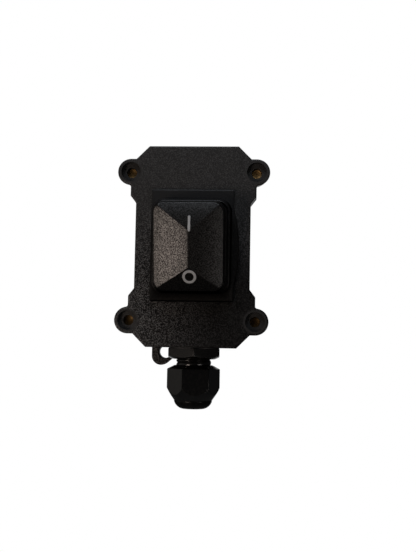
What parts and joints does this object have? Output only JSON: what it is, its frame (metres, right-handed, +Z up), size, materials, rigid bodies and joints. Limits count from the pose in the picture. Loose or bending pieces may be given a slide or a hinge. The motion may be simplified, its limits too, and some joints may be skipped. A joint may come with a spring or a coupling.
{
  "type": "rocker light switch",
  "caption": "Black weatherproof surface switch box with an eared screw cover, a rubber booted rocker marked I and O, a cable gland below and a fixing lug.",
  "frame": {"origin": "centre of the box's back face, which lies on the wall", "axes": "+Z up with the gland pointing down, the front looks along -Y, +X to the right as seen from the front"},
  "size_m": [0.0512, 0.0499, 0.0886],
  "materials": {
    "case_plastic": "coarse moulded grain",
    "boot_rubber": "fine grain on the cap",
    "seal_rubber": "smooth",
    "gland_plastic": "smooth satin",
    "switch_plastic": "smooth",
    "insert_brass": "turned",
    "terminal_brass": "stamped",
    "contact_silver": "pressed",
    "spring_steel": "drawn wire"
  },
  "bodies": {
    "case": {"front_cover": "case_plastic", "rear_box": "case_plastic", "cover_seal": "seal_rubber", "brass_inserts": "insert_brass", "switch_housing": "switch_plastic", "gland_body": "gland_plastic", "gland_nut": "gland_plastic", "gland_seal": "seal_rubber", "gland_claw": "gland_plastic", "gland_washer": "seal_rubber", "gland_locknut": "gland_plastic", "common_terminal_left": "terminal_brass", "load_terminal_left": "terminal_brass", "load_contact_left": "contact_silver", "common_terminal_right": "terminal_brass", "load_terminal_right": "terminal_brass", "load_contact_right": "contact_silver"},
    "rocker": {"rocker": "switch_plastic", "rocker_boot": "boot_rubber", "spring_left": "spring_steel", "spring_right": "spring_steel"},
    "plunger_left": {"plunger_left": "switch_plastic"},
    "lever_left": {"lever_left": "terminal_brass", "lever_contact_left": "contact_silver"},
    "plunger_right": {"plunger_right": "switch_plastic"},
    "lever_right": {"lever_right": "terminal_brass", "lever_contact_right": "contact_silver"}
  },
  "joints": [
    {"name": "rocker_tilt", "type": "hinge", "parent": "case", "child": "rocker", "pos_m": [0, -0.0378, 0], "axis": [-1, 0, 0], "range_deg": [0, 24], "deforming": ["rocker_boot"]},
    {"name": "plunger_left_press", "type": "slide", "parent": "rocker", "child": "plunger_left", "axis": [0, -0.9781, -0.2079], "range_m": [0, 0.0008], "stiffness_N_per_m": 400, "springref_m": -0.004, "deforming": ["spring_left"]},
    {"name": "lever_left_rock", "type": "hinge", "parent": "case", "child": "lever_left", "pos_m": [-0.0042, -0.02739, 0], "axis": [1, 0, 0], "range_deg": [0, 10]},
    {"name": "plunger_right_press", "type": "slide", "parent": "rocker", "child": "plunger_right", "axis": [0, -0.9781, -0.2079], "range_m": [0, 0.0008], "stiffness_N_per_m": 400, "springref_m": -0.004, "deforming": ["spring_right"]},
    {"name": "lever_right_rock", "type": "hinge", "parent": "case", "child": "lever_right", "pos_m": [0.0042, -0.02739, 0], "axis": [1, 0, 0], "range_deg": [0, 10]}
  ],
  "couplings": [
    {"joint": "lever_left_rock", "follows": "rocker_tilt", "ratio": 0.4166},
    {"joint": "lever_right_rock", "follows": "rocker_tilt", "ratio": 0.4166}
  ]
}
